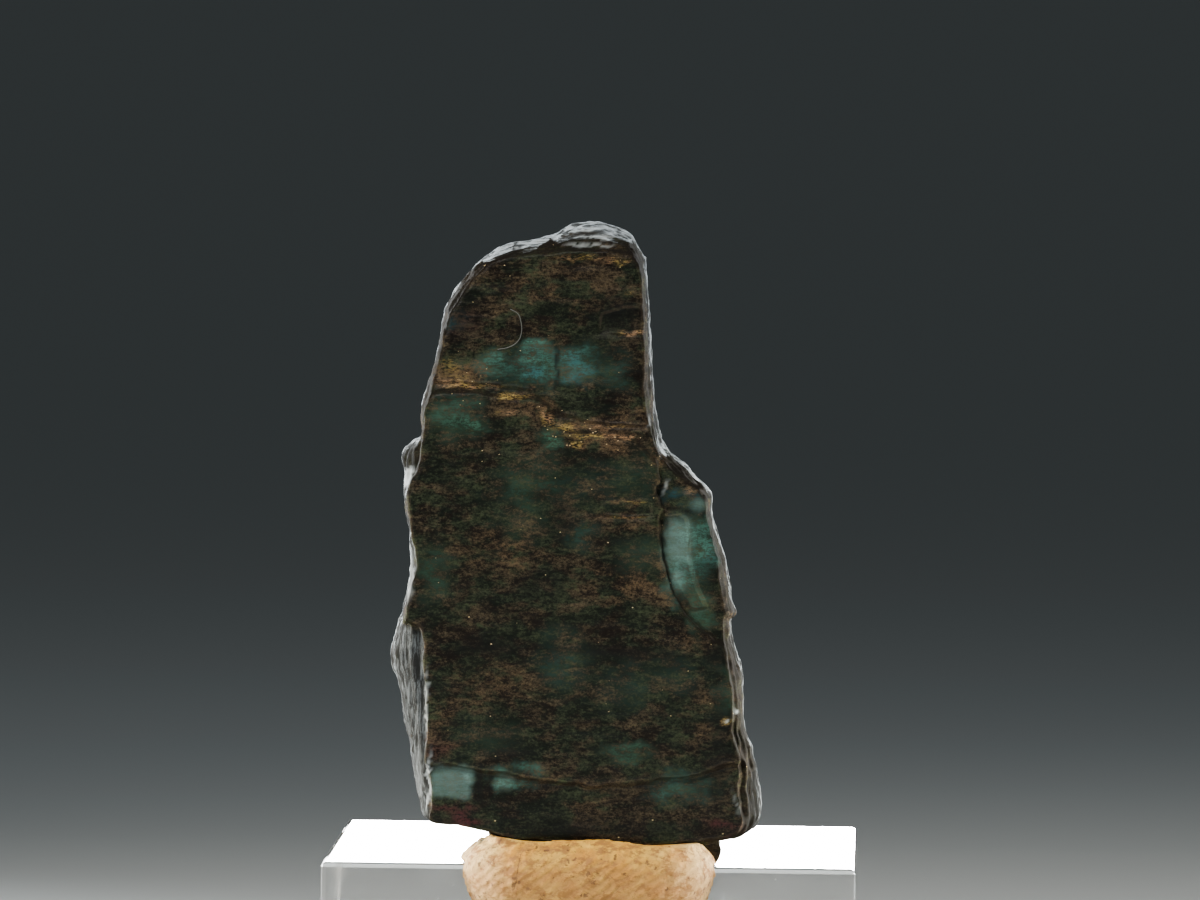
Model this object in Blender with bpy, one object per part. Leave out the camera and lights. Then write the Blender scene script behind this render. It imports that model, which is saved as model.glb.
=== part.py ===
"""A bladed vivianite crystal held upright by a lump of putty on a small clear display block.

Units are metres, +Z is up and -Y is the front. The origin is the middle of the block's underside.
Outlines are written in millimetres: x from the block's middle, z above the block's top face.
"""

import math

import bmesh
import bpy
from mathutils import Vector, noise

MM = 0.001

# Driving sizes of the display block
BLOCK_WIDTH = 31.75 * MM
BLOCK_HEIGHT = 12.7 * MM
BLOCK_EDGE = 0.3 * MM

# The crystal's front cleavage face, and the layers behind it, whose broken edges show
# as fine lines round its rim
FRONT_Y = -17.75 * MM
LAYERS = [0.9 * MM, 0.6 * MM, 1.0 * MM, 0.7 * MM, 0.55 * MM, 1.05 * MM, 0.8 * MM, 0.6 * MM, 0.75 * MM]
BACK_Y = FRONT_Y + sum(LAYERS)
LAYER_SLOPE = 0.22

# Where through its thickness the outline is widest, and how much of that is left at the back
WIDEST_SHARE = 0.6
BACK_SPREAD = 0.45

RIM_STEP = 0.72 * MM
FRONT_RAGGED = 0.02 * MM
RIM_RAGGED = 0.10 * MM
FACE_CHAMFER = 0.09 * MM

# The gap kept between touching pieces
GAP = 0.3 * MM

# Stations round the rim, clockwise from the left end of the upper ledge:
# where the outline runs on the front face, and where it runs at the widest layer
RIM_STATIONS = [
    ((-10.0, 25.3), (-10.2, 25.3)),
    ((-10.0, 26.4), (-10.2, 26.4)),
    ((-9.9, 27.3), (-10.2, 27.2)),
    ((-9.5, 28.7), (-9.7, 28.8)),
    ((-9.1, 29.8), (-9.4, 29.9)),
    ((-8.9, 31.7), (-9.1, 31.8)),
    ((-8.6, 32.7), (-8.9, 32.8)),
    ((-8.1, 33.7), (-8.6, 33.6)),
    ((-7.4, 34.6), (-8.0, 34.5)),
    ((-6.8, 35.3), (-7.4, 35.2)),
    ((-6.1, 35.9), (-6.7, 35.9)),
    ((-5.3, 36.2), (-5.8, 36.5)),
    ((-4.4, 36.3), (-4.8, 36.9)),
    ((-3.3, 36.4), (-3.5, 37.1)),
    ((-2.3, 36.5), (-2.5, 37.3)),
    ((-1.8, 36.6), (-2.1, 37.6)),
    ((-1.2, 36.6), (-1.4, 38.0)),
    ((-0.3, 36.5), (-0.5, 38.2)),
    ((0.4, 36.6), (0.4, 38.1)),
    ((1.2, 36.5), (1.3, 37.8)),
    ((1.8, 36.4), (2.0, 37.4)),
    ((2.3, 36.1), (2.4, 36.7)),
    ((2.6, 35.7), (2.8, 36.1)),
    ((2.7, 34.5), (3.0, 34.5)),
    ((2.9, 32.5), (3.1, 32.5)),
    ((3.0, 30.1), (3.3, 30.1)),
    ((3.2, 26.8), (3.6, 26.9)),
    ((3.6, 25.1), (4.0, 25.1)),
    ((4.0, 24.4), (4.4, 24.5)),
    ((5.0, 23.4), (5.5, 23.6)),
    ((5.6, 22.9), (6.0, 23.0)),
    ((6.3, 22.3), (6.6, 22.5)),
    ((6.7, 21.9), (7.0, 22.0)),
    ((6.8, 21.1), (7.0, 21.2)),
    ((7.0, 20.1), (7.2, 20.2)),
    ((7.5, 18.3), (7.8, 18.3)),
    ((7.9, 15.9), (8.2, 15.9)),
    ((8.1, 15.2), (8.5, 15.0)),
    ((7.9, 14.8), (8.2, 14.8)),
    ((8.0, 13.5), (8.3, 13.5)),
    ((8.1, 12.6), (8.6, 12.7)),
    ((8.3, 11.7), (8.9, 11.7)),
    ((8.5, 10.5), (9.0, 10.5)),
    ((8.5, 8.3), (9.1, 8.3)),
    ((8.7, 7.5), (9.4, 7.5)),
    ((8.9, 6.6), (9.6, 6.6)),
    ((9.0, 5.7), (9.9, 5.7)),
    ((8.8, 4.7), (10.1, 4.7)),
    ((9.0, 3.8), (10.2, 3.8)),
    ((9.2, 3.0), (10.1, 3.0)),
    ((9.0, 2.4), (9.9, 2.4)),
    ((8.6, 2.0), (9.3, 2.0)),
    ((7.9, 1.8), (8.5, 1.7)),
    ((6.9, 1.7), (7.6, 1.6)),
    ((5.4, 1.5), (6.0, 1.3)),
    ((3.1, 1.4), (3.7, 1.1)),
    ((0.7, 1.5), (1.3, 1.1)),
    ((-1.7, 1.5), (-1.1, 1.0)),
    ((-4.0, 1.6), (-3.5, 1.1)),
    ((-5.2, 1.8), (-4.9, 1.5)),
    ((-6.0, 2.1), (-5.9, 2.0)),
    ((-7.0, 2.3), (-7.0, 2.3)),
    ((-8.2, 2.4), (-8.3, 2.4)),
    ((-9.1, 2.5), (-9.4, 2.5)),
    ((-9.5, 2.8), (-9.8, 2.8)),
    ((-9.3, 3.5), (-10.1, 3.5)),
    ((-9.4, 5.3), (-10.5, 5.3)),
    ((-9.6, 6.0), (-10.6, 6.0)),
    ((-9.7, 6.5), (-10.7, 6.7)),
    ((-9.6, 7.4), (-10.8, 7.5)),
    ((-9.6, 8.5), (-11.1, 8.3)),
    ((-9.7, 9.7), (-11.3, 9.7)),
    ((-9.7, 10.7), (-11.5, 10.7)),
    ((-9.8, 11.6), (-11.8, 11.5)),
    ((-9.8, 12.4), (-11.9, 12.4)),
    ((-9.9, 13.3), (-11.7, 13.2)),
    ((-10.0, 14.1), (-11.5, 14.0)),
    ((-11.0, 14.5), (-11.2, 14.6)),
    ((-10.9, 15.3), (-11.1, 15.3)),
    ((-10.5, 17.0), (-10.8, 17.0)),
    ((-10.3, 17.7), (-10.8, 17.8)),
    ((-10.4, 18.6), (-10.8, 18.6)),
    ((-10.7, 19.5), (-10.8, 19.5)),
    ((-10.9, 21.3), (-11.1, 21.3)),
    ((-10.9, 22.1), (-11.2, 22.0)),
    ((-10.8, 22.6), (-11.2, 22.7)),
    ((-10.4, 23.3), (-11.3, 23.4)),
    ((-10.2, 23.9), (-11.4, 24.0)),
    ((-10.2, 24.6), (-11.2, 24.6)),
    ((-10.1, 25.0), (-10.7, 25.0)),
]

# Ledge lines where a cleavage step crosses the front face, from left to right
UPPER_LEDGE = [
    (-10.3, 28.0), (-9.1, 28.1), (-7.9, 28.1), (-6.7, 28.1), (-6.1, 27.9), (-5.6, 27.8), (-4.4, 27.8),
    (-3.5, 27.9), (-2.9, 27.6), (-2.5, 27.2), (-2.8, 26.8), (-2.6, 26.4), (-2.2, 26.1), (-1.6, 25.9),
    (-0.8, 25.8), (0.4, 25.5), (1.6, 25.4), (2.3, 25.4), (2.8, 25.0), (3.4, 24.4), (3.8, 24.1),
]
UPPER_STEP = [
    (-10.6, 28.5), (-7.9, 28.5), (-5.6, 28.4), (-3.8, 28.2), (-2.7, 27.8), (-1.9, 26.7), (0.4, 26.2),
    (3.1, 26.1), (4.5, 26.2),
]
WING_EDGE = [
    (3.7, 24.4), (4.0, 23.0), (3.7, 22.5), (4.2, 21.3), (4.0, 20.9), (4.0, 19.7), (4.2, 18.7), (4.5, 17.5),
    (4.9, 16.3), (5.6, 15.1), (6.6, 14.2), (7.8, 13.5),
]
FOOT_LEDGE = [
    (-10.6, 6.1), (-8.2, 6.0), (-6.8, 5.8), (-5.8, 5.7), (-4.7, 5.6), (-3.5, 5.3), (-1.7, 5.1), (0.7, 4.9),
    (3.0, 5.1), (4.8, 5.4), (6.6, 5.8), (8.3, 6.3), (10.7, 6.7),
]
WING_WINDOW = [
    (4.1, 20.9), (5.7, 21.0), (5.8, 18.5), (6.4, 16.5), (7.0, 15.4), (6.0, 15.3), (5.1, 16.6), (4.4, 18.6),
]
SHALLOW_LEDGE = [(0.4, 21.7), (2.0, 21.9), (3.5, 21.9), (3.7, 20.9), (2.2, 20.7), (0.6, 20.8)]
SHOULDER_LEDGE = [(0.2, 31.6), (1.9, 31.5), (3.6, 31.7), (3.7, 33.6), (1.7, 33.3), (0.3, 32.9)]

# Ledges on the crystal's back
BACK_UPPER = [
    (-12.5, 20.4), (-8.0, 21.0), (-5.2, 20.2), (-2.6, 22.6), (0.6, 23.2), (2.4, 26.0), (6.0, 27.0),
]
BACK_LOWER = [(-0.6, 0.0), (-0.2, 3.4), (1.4, 6.2), (1.9, 10.4), (4.6, 13.1), (8.4, 13.9), (12.0, 14.2)]

# How deep each step is cut, measured in from the front or the back face
UPPER_LEDGE_DEPTH = 0.28 * MM
UPPER_STEP_DEPTH = 0.48 * MM
SHOULDER_LEDGE_DEPTH = 0.62 * MM
WING_DEPTH = 0.56 * MM
WING_WINDOW_DEPTH = 0.76 * MM
SHALLOW_LEDGE_DEPTH = 0.14 * MM
FOOT_DEPTH = 0.38 * MM
BACK_UPPER_DEPTH = 0.55 * MM
BACK_LOWER_DEPTH = 0.38 * MM
LEDGE_RAGGED = 0.11 * MM
LEDGE_STEP = 0.45 * MM
CUT_MARGIN = 4.0 * MM
PAST_LEFT, PAST_RIGHT, PAST_TOP, PAST_FOOT = -15.0, 14.0, 42.0, -3.0

# The stub below the foot, which stands in the putty
STUB_OUTLINE = [
    (-5.9, 3.4), (-5.9, 1.4), (-6.2, 0.9), (-5.7, 0.3), (7.4, 0.3), (7.8, 0.8), (7.7, 1.5), (7.6, 3.4),
]
STUB_FRONT_Y = -15.4 * MM
STUB_BACK_Y = -11.7 * MM

# The putty: half sizes of a squarish lump about a centre over the block's front edge
PUTTY_X = 0.0 * MM
PUTTY_Y = -14.2 * MM
PUTTY_HALF_WIDTH = 7.5 * MM
PUTTY_HALF_DEPTH = 5.3 * MM
PUTTY_RISE = 2.45 * MM
PUTTY_DROP = 5.1 * MM
PUTTY_PLAN_SQUARENESS = 3.4
PUTTY_SIDE_SQUARENESS = 2.1
PUTTY_DENT = 0.16 * MM
PUTTY_DENT_SCALE = 2.6 * MM
PUTTY_SUBDIVISIONS = 4


def clear_scene():
    for thing in list(bpy.data.objects):
        bpy.data.objects.remove(thing, do_unlink=True)


def finish_material(name, colour, roughness, transmission=0.0, ior=1.5):
    material = bpy.data.materials.new(name)
    material.use_nodes = True
    shader = material.node_tree.nodes["Principled BSDF"]
    shader.inputs["Base Color"].default_value = (*colour, 1.0)
    shader.inputs["Roughness"].default_value = roughness
    shader.inputs["Metallic"].default_value = 0.0
    shader.inputs["Transmission Weight"].default_value = transmission
    shader.inputs["IOR"].default_value = ior
    return material


def add_object(name, shape, material=None):
    """Puts a finished bmesh into the scene as a named object."""
    bmesh.ops.recalc_face_normals(shape, faces=shape.faces[:])
    mesh = bpy.data.meshes.new(name)
    shape.to_mesh(mesh)
    shape.free()
    thing = bpy.data.objects.new(name, mesh)
    bpy.context.scene.collection.objects.link(thing)
    if material is not None:
        mesh.materials.append(material)
    return thing


def hide_as_cutter(thing):
    thing.hide_render = True
    thing.display_type = "WIRE"
    return thing


def combine(thing, other, operation):
    boolean = thing.modifiers.new(f"{operation.lower()} {other.name}", "BOOLEAN")
    boolean.operation = operation
    boolean.solver = "EXACT"
    boolean.object = other


def on_block(x, y, z):
    """A point from millimetres across and up, and a depth in metres, with z above the block's top."""
    return Vector((x * MM, y, BLOCK_HEIGHT + z * MM))


def between(here, there, share):
    return tuple(p + (q - p) * share for p, q in zip(here, there))


def resampled(stations, step):
    """Points added evenly between the stations, so that none of their lines is longer than step."""
    dense = []
    for here, there in zip(stations, stations[1:] + stations[:1]):
        longest = max(math.dist(a, b) for a, b in zip(here, there)) * MM
        count = max(1, math.ceil(longest / step))
        for i in range(count):
            share = i / count
            dense.append(tuple(between(a, b, share) for a, b in zip(here, there)))
    return dense


def outward_normals(outline):
    """For a clockwise outline, the direction in its plane that points out of it at each point."""
    normals = []
    for i, _ in enumerate(outline):
        before, after = outline[i - 1], outline[(i + 1) % len(outline)]
        along = Vector((after[0] - before[0], after[1] - before[1])).normalized()
        normals.append(Vector((-along.y, along.x)))
    return normals


def spread_at(share):
    """At a share of the thickness, how far the outline has moved from the front line to the widest one."""
    if share <= WIDEST_SHARE:
        return math.sin(share / WIDEST_SHARE * math.pi / 2)
    past = (share - WIDEST_SHARE) / (1 - WIDEST_SHARE)
    return 1 - (1 - BACK_SPREAD) * past * past


def raggedness(point, layer):
    """A steady, uneven offset from -1 to 1 along the rim, different in each layer."""
    coarse = noise.noise(Vector((point[0] * 0.55, point[1] * 0.55, layer * 3.7)))
    fine = noise.noise(Vector((point[0] * 1.7, point[1] * 1.7, layer * 5.1 + 40.0)))
    return 0.7 * coarse + 0.5 * fine


def layer_outline(rim, layer, clearance):
    """The outline of one cleavage layer, in metres in the plane of the face."""
    middle = sum(LAYERS[:layer]) + LAYERS[layer] / 2
    spread = spread_at(middle / sum(LAYERS)) if layer else 0.0
    outline = [between(front, widest, spread) for front, widest in rim]
    ragged = RIM_RAGGED if layer else FRONT_RAGGED
    placed = []
    for point, normal in zip(outline, outward_normals(outline)):
        offset = ragged * raggedness(point, layer) + clearance
        placed.append((point[0] * MM + normal.x * offset, point[1] * MM + normal.y * offset, normal))
    return placed


def ring_levels(front, back):
    """Every ring of the blade: its layer, its depth, and how far the face's small chamfer draws it in."""
    scale = (back - front) / sum(LAYERS)
    levels = [(0, front, FACE_CHAMFER), (0, front + FACE_CHAMFER, 0.0)]
    depth = front
    for layer, thickness in enumerate(LAYERS):
        if layer:
            levels.append((layer, depth + LAYER_SLOPE * thickness * scale, 0.0))
        depth += thickness * scale
        levels.append((layer, depth, 0.0))
    last, _, _ = levels.pop()
    return levels + [(last, back - FACE_CHAMFER, 0.0), (last, back, FACE_CHAMFER)]


def blade(name, clearance=0.0, material=None):
    """The crystal's body: cleavage layers stacked from front to back, each with its own broken edge."""
    rim = resampled(RIM_STATIONS, RIM_STEP)
    outlines = [layer_outline(rim, layer, clearance) for layer in range(len(LAYERS))]
    shape = bmesh.new()
    rings = []
    for layer, y, inset in ring_levels(FRONT_Y - clearance, BACK_Y + clearance):
        rings.append([
            shape.verts.new((x - normal.x * inset, y, BLOCK_HEIGHT + z - normal.y * inset))
            for x, z, normal in outlines[layer]
        ])
    for ahead, behind in zip(rings, rings[1:]):
        for i in range(len(rim)):
            j = (i + 1) % len(rim)
            shape.faces.new((ahead[i], ahead[j], behind[j], behind[i]))
    shape.faces.new(rings[0])
    shape.faces.new(rings[-1])
    return add_object(name, shape, material)


def prism(name, outline, near, far):
    """A flat outline in millimetres, extruded from one depth to another."""
    shape = bmesh.new()
    face = shape.faces.new([shape.verts.new(on_block(x, near, z)) for x, z in outline])
    pushed = bmesh.ops.extrude_face_region(shape, geom=[face])
    moved = [part for part in pushed["geom"] if isinstance(part, bmesh.types.BMVert)]
    bmesh.ops.translate(shape, vec=(0.0, far - near, 0.0), verts=moved)
    return add_object(name, shape)


def ragged_line(line, seed):
    """A ledge line with the small steps of a broken cleavage layer."""
    dense = []
    for here, there in zip(line, line[1:]):
        count = max(1, round(math.dist(here, there) * MM / LEDGE_STEP))
        for i in range(count):
            x, z = between(here, there, i / count)
            lift = LEDGE_RAGGED / MM * noise.noise(Vector((x * 1.3, z * 1.3, seed)))
            dense.append((x, z + lift))
    return dense + [line[-1]]


def above(line, seed):
    """Everything on the face above a ledge line."""
    right_end, left_end = (PAST_RIGHT, line[-1][1]), (PAST_LEFT, line[0][1])
    return ragged_line(line, seed) + [right_end, (PAST_RIGHT, PAST_TOP), (PAST_LEFT, PAST_TOP), left_end]


def below(line, seed):
    """Everything on the face below a ledge line."""
    right_end, left_end = (PAST_RIGHT, line[-1][1]), (PAST_LEFT, line[0][1])
    return ragged_line(line, seed) + [right_end, (PAST_RIGHT, PAST_FOOT), (PAST_LEFT, PAST_FOOT), left_end]


def right_of(line, seed):
    """Everything on the face to the right of a line that runs up or down it."""
    return ragged_line(line, seed) + [(PAST_RIGHT, line[-1][1]), (PAST_RIGHT, line[0][1])]


def within(line, seed):
    """Everything inside a closed ledge line."""
    return ragged_line(line + line[:1], seed)[:-1]


FRONT_STEPS = [
    ("upper_ledge", above, UPPER_LEDGE, UPPER_LEDGE_DEPTH),
    ("upper_step", above, UPPER_STEP, UPPER_STEP_DEPTH),
    ("shoulder_ledge", within, SHOULDER_LEDGE, SHOULDER_LEDGE_DEPTH),
    ("shallow_ledge", within, SHALLOW_LEDGE, SHALLOW_LEDGE_DEPTH),
    ("wing", right_of, WING_EDGE, WING_DEPTH),
    ("wing_window", within, WING_WINDOW, WING_WINDOW_DEPTH),
    ("foot", below, FOOT_LEDGE, FOOT_DEPTH),
]
BACK_STEPS = [
    ("back_upper", above, BACK_UPPER, BACK_UPPER_DEPTH),
    ("back_lower", right_of, BACK_LOWER, BACK_LOWER_DEPTH),
]


def cleavage_cutters():
    """What is missing from the two broad faces, where thin layers have split off along their ledge lines."""
    cutters = []
    for seed, (name, side, line, depth) in enumerate(FRONT_STEPS):
        cutters.append(prism(name, side(line, seed * 8.0), FRONT_Y - CUT_MARGIN, FRONT_Y + depth))
    for seed, (name, side, line, depth) in enumerate(BACK_STEPS, len(FRONT_STEPS)):
        cutters.append(prism(name, side(line, seed * 8.0), BACK_Y - depth, BACK_Y + CUT_MARGIN))
    return [hide_as_cutter(cutter) for cutter in cutters]


def crystal():
    dark_green = finish_material("vivianite", (0.02, 0.045, 0.038), 0.35, transmission=0.25, ior=1.6)
    blade_piece = blade("crystal", material=dark_green)
    stub = hide_as_cutter(prism("stub", STUB_OUTLINE, STUB_FRONT_Y, STUB_BACK_Y))
    combine(blade_piece, stub, "UNION")
    for cutter in cleavage_cutters():
        combine(blade_piece, cutter, "DIFFERENCE")
    return blade_piece


def display_block():
    clear = finish_material("clear_acrylic", (1.0, 1.0, 1.0), 0.03, transmission=1.0, ior=1.49)
    shape = bmesh.new()
    bmesh.ops.create_cube(shape, size=1.0)
    bmesh.ops.scale(shape, vec=(BLOCK_WIDTH, BLOCK_WIDTH, BLOCK_HEIGHT), verts=shape.verts[:])
    bmesh.ops.translate(shape, vec=(0.0, 0.0, BLOCK_HEIGHT / 2), verts=shape.verts[:])
    block = add_object("display_block", shape, clear)
    bevel = block.modifiers.new("polished edges", "BEVEL")
    bevel.width = BLOCK_EDGE
    bevel.segments = 2
    return block


def block_clearance():
    """The block grown by the gap on every side, which the putty is cut back from."""
    grown = BLOCK_WIDTH / 2 + GAP
    shape = bmesh.new()
    bmesh.ops.create_cube(shape, size=1.0)
    bmesh.ops.scale(shape, vec=(2 * grown, 2 * grown, BLOCK_HEIGHT + GAP), verts=shape.verts[:])
    bmesh.ops.translate(shape, vec=(0.0, 0.0, (BLOCK_HEIGHT + GAP) / 2), verts=shape.verts[:])
    return hide_as_cutter(add_object("block_clearance", shape))


def stub_clearance():
    """The stub grown by the gap, and run down to the block so that the putty is cut right through."""
    left, right = min(x for x, _ in STUB_OUTLINE), max(x for x, _ in STUB_OUTLINE)
    top = max(z for _, z in STUB_OUTLINE)
    gap = GAP / MM
    around = [(left - gap, top), (left - gap, -gap), (right + gap, -gap), (right + gap, top)]
    return hide_as_cutter(prism("stub_clearance", around, STUB_FRONT_Y - GAP, STUB_BACK_Y + GAP))


def squarish(direction):
    """How far a rounded-square lump of unit half sizes reaches in a direction."""
    plan, side = PUTTY_PLAN_SQUARENESS, PUTTY_SIDE_SQUARENESS
    across = (abs(direction.x) ** plan + abs(direction.y) ** plan) ** (side / plan)
    return (across + abs(direction.z) ** side) ** (-1 / side)


def putty():
    """A thumbed lump pressed over the block's front edge and round the crystal's stub."""
    tan = finish_material("putty", (0.62, 0.40, 0.19), 0.75)
    shape = bmesh.new()
    bmesh.ops.create_icosphere(shape, subdivisions=PUTTY_SUBDIVISIONS, radius=1.0)
    for vert in shape.verts:
        out = vert.co.copy()
        reach = squarish(out)
        half_height = PUTTY_RISE if out.z > 0 else PUTTY_DROP
        place = Vector((out.x * PUTTY_HALF_WIDTH, out.y * PUTTY_HALF_DEPTH, out.z * half_height)) * reach
        place += out * PUTTY_DENT * noise.noise(place / PUTTY_DENT_SCALE + Vector((3.0, 1.0, 2.0)))
        vert.co = place + Vector((PUTTY_X, PUTTY_Y, BLOCK_HEIGHT))
    lump = add_object("putty", shape, tan)
    blade_clearance = hide_as_cutter(blade("blade_clearance", clearance=GAP))
    for cutter in (block_clearance(), blade_clearance, stub_clearance()):
        combine(lump, cutter, "DIFFERENCE")
    return lump


def main():
    clear_scene()
    display_block()
    crystal()
    putty()


main()
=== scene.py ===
# %% [markdown]
# # A vivianite crystal on its display block
#
# The real object is three things: a dark, flat crystal that splits into leaves like a book, a lump of tan
# putty that holds it upright, and a small block of clear acrylic. A finished set of plain solids already
# gives their sizes and places. This notebook dresses those solids: it makes the crystal's and the putty's
# fine surfaces, writes every material out of nodes, and sets up a camera and soft lights.

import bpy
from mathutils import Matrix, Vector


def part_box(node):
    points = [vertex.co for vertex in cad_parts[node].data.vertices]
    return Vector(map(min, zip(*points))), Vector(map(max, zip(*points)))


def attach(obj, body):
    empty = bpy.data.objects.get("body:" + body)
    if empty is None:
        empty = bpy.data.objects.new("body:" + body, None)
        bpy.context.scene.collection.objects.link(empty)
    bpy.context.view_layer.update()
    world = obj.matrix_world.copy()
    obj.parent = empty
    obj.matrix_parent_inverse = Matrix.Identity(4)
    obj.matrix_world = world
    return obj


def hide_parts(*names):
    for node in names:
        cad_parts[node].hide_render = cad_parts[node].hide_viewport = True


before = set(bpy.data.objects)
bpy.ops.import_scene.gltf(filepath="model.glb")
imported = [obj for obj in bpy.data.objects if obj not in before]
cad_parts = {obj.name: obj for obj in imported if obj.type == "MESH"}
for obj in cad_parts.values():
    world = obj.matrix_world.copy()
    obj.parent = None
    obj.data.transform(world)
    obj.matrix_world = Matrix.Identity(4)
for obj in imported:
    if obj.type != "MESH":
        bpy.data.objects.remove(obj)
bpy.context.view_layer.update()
print("Solids:", ", ".join(sorted(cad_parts)))

# %% [markdown]
# Every size below is in metres, because that is what the solids use, but a crystal is easier to think of in
# millimetres. `MM` turns one into the other. The places on the crystal are given as x across from the
# block's middle and z up from the block's top, both in millimetres.

# %% Measures that everything else is worked out from
import math

import bpy
import numpy as np
from mathutils import Euler, Vector
from mathutils.bvhtree import BVHTree

MM = 0.001
block_low, block_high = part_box("display_block")
crystal_low, crystal_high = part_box("crystal")
BLOCK_TOP = block_high.z
BLOCK_FRONT = block_low.y
print(f"Block top at {BLOCK_TOP / MM:.1f} mm, crystal up to {crystal_high.z / MM:.1f} mm")


def on_block(x, y, z):
    """A point from millimetres: x from the block's middle, y from its front face, z above its top."""
    return Vector((x * MM, BLOCK_FRONT + y * MM, BLOCK_TOP + z * MM))


# %% [markdown]
# ## Camera
#
# The photograph was taken from far away through a long lens, nearly level, so the block's top shows as a
# thin strip. The camera stands 62 cm in front of the block, looks down by about two and a half degrees and is
# rolled by under one degree, as a slightly tilted camera is.

# %% Camera
CAMERA_DISTANCE = 623 * MM
CAMERA_AZIMUTH = math.radians(1.5)
CAMERA_ELEVATION = math.radians(2.55)
CAMERA_ROLL = math.radians(0.7)
LENS = 315.5
AIM = on_block(0.41, 0.0, 24.7)


def around(aim, azimuth, elevation, distance):
    """A point seen from aim under an azimuth counted from the front, and an elevation."""
    level = math.cos(elevation)
    out = Vector((math.sin(azimuth) * level, -math.cos(azimuth) * level, math.sin(elevation)))
    return aim + out * distance


def turned_to(place, aim):
    """The rotation of a camera or light at place that looks at aim."""
    return (aim - place).to_track_quat("-Z", "Y")


camera_place = around(AIM, CAMERA_AZIMUTH, CAMERA_ELEVATION, CAMERA_DISTANCE)
camera_turn = turned_to(camera_place, AIM) @ Euler((0, 0, CAMERA_ROLL)).to_quaternion()
bpy.ops.object.camera_add(location=camera_place, rotation=camera_turn.to_euler())
camera = bpy.context.object
camera.name = "camera"
camera.data.lens = LENS
camera.data.clip_end = 300.0
bpy.context.scene.camera = camera
print("Camera at", [round(part, 3) for part in camera_place])

# %% [markdown]
# ## Helpers for modelling
#
# Operators act on whatever is selected, so each helper first clears the selection and then picks the one
# piece it works on. Modifiers are applied as soon as they are added, which leaves plain meshes behind.

# %% Picking a piece and applying a modifier


def pick(piece):
    """Makes this piece the only selected and active one."""
    bpy.ops.object.select_all(action="DESELECT")
    piece.select_set(True)
    bpy.context.view_layer.objects.active = piece


def bake_modifier(piece, kind, **settings):
    """Adds one modifier with its settings and applies it at once."""
    modifier = piece.modifiers.new(kind.lower(), kind)
    for name, value in settings.items():
        setattr(modifier, name, value)
    pick(piece)
    bpy.ops.object.modifier_apply(modifier=modifier.name)


# %% [markdown]
# A solid arrives as loose triangles, and a modifier that works across edges needs them joined. So a piece
# that gets a finer surface starts as a copy of its solid, merged in edit mode.

# %% Copying a solid


def copy_of_solid(node, name):
    """A copy of a solid with its loose triangles joined up, so that modifiers can work on it."""
    piece = bpy.data.objects.new(name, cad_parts[node].data.copy())
    bpy.context.collection.objects.link(piece)
    pick(piece)
    bpy.ops.object.mode_set(mode="EDIT")
    bpy.ops.mesh.select_all(action="SELECT")
    bpy.ops.mesh.remove_doubles(threshold=0.001 * MM)
    bpy.ops.mesh.normals_make_consistent(inside=False)
    bpy.ops.object.mode_set(mode="OBJECT")
    piece.data.materials.clear()
    return piece


# %% [markdown]
# Most relief belongs on one part of a piece only. A vertex group holds a weight for each point, and a
# modifier that names the group works by that much there. An eased step, flat at both ends, keeps the border
# between two parts invisible.

# %% Weights


def smooth_ramp(value, low, high):
    """0 below low, 1 above high, and an even ease in between."""
    share = min(max((value - low) / (high - low), 0.0), 1.0)
    return share * share * (3 - 2 * share)


def weigh(piece, group, weight_of):
    """Fills a vertex group from a function of each vertex that gives a weight from 0 to 1."""
    made = piece.vertex_groups.new(name=group)
    for vertex in piece.data.vertices:
        weight = weight_of(vertex)
        if weight > 0:
            made.add([vertex.index], min(weight, 1.0), "REPLACE")
    return made.name


print("The ease a quarter of the way up:", smooth_ramp(0.25, 0.0, 1.0))

# %% [markdown]
# A Displace modifier pushes a surface in and out by a grey texture. The texture is read in the space of an
# empty, so squashing the empty squashes the pattern: a flat empty gives long, thin streaks. Vivianite is
# built of streaks, so this one helper makes most of its relief.

# %% Relief by streaked textures


def relief(piece, name, cell, strength, group="", depth=2, seed=0.0):
    """Pushes the piece in and out by a cloudy texture whose cells have the given size in millimetres."""
    bpy.ops.object.select_all(action="DESELECT")
    bpy.ops.object.empty_add(location=(seed, seed * 0.7, seed * 1.3))
    frame_of_texture = bpy.context.object
    frame_of_texture.scale = [size * MM for size in cell]
    bpy.context.view_layer.update()
    texture = bpy.data.textures.new(name, "CLOUDS")
    texture.noise_scale = 1.0
    texture.noise_depth = depth
    bake_modifier(
        piece, "DISPLACE", texture=texture, texture_coords="OBJECT",
        texture_coords_object=frame_of_texture, strength=strength * MM, mid_level=0.5,
        vertex_group=group,
    )
    bpy.data.objects.remove(frame_of_texture)


# %% [markdown]
# ## The crystal
#
# The solid has the outline, the leaves of the rim and the big ledges. A voxel remesh turns it into an even
# net of small faces, fine enough to carry relief everywhere, and softens the ledges a little, as a worn
# natural edge is. Its two kinds of surface then get relief of their own: the broad cleavage faces long level
# streaks, and the rim fine lines that run round it, one for each leaf.

# %% Crystal shape
CRYSTAL_VOXEL = 0.165 * MM

crystal = copy_of_solid("crystal", "crystal_blade")
bake_modifier(crystal, "REMESH", mode="VOXEL", voxel_size=CRYSTAL_VOXEL, adaptivity=0.0)


def faceness(vertex):
    """1 on the two broad faces, 0 on the rim."""
    return smooth_ramp(abs(vertex.normal.y), 0.75, 0.95)


def rimness(vertex):
    return 1.0 - faceness(vertex)


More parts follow.
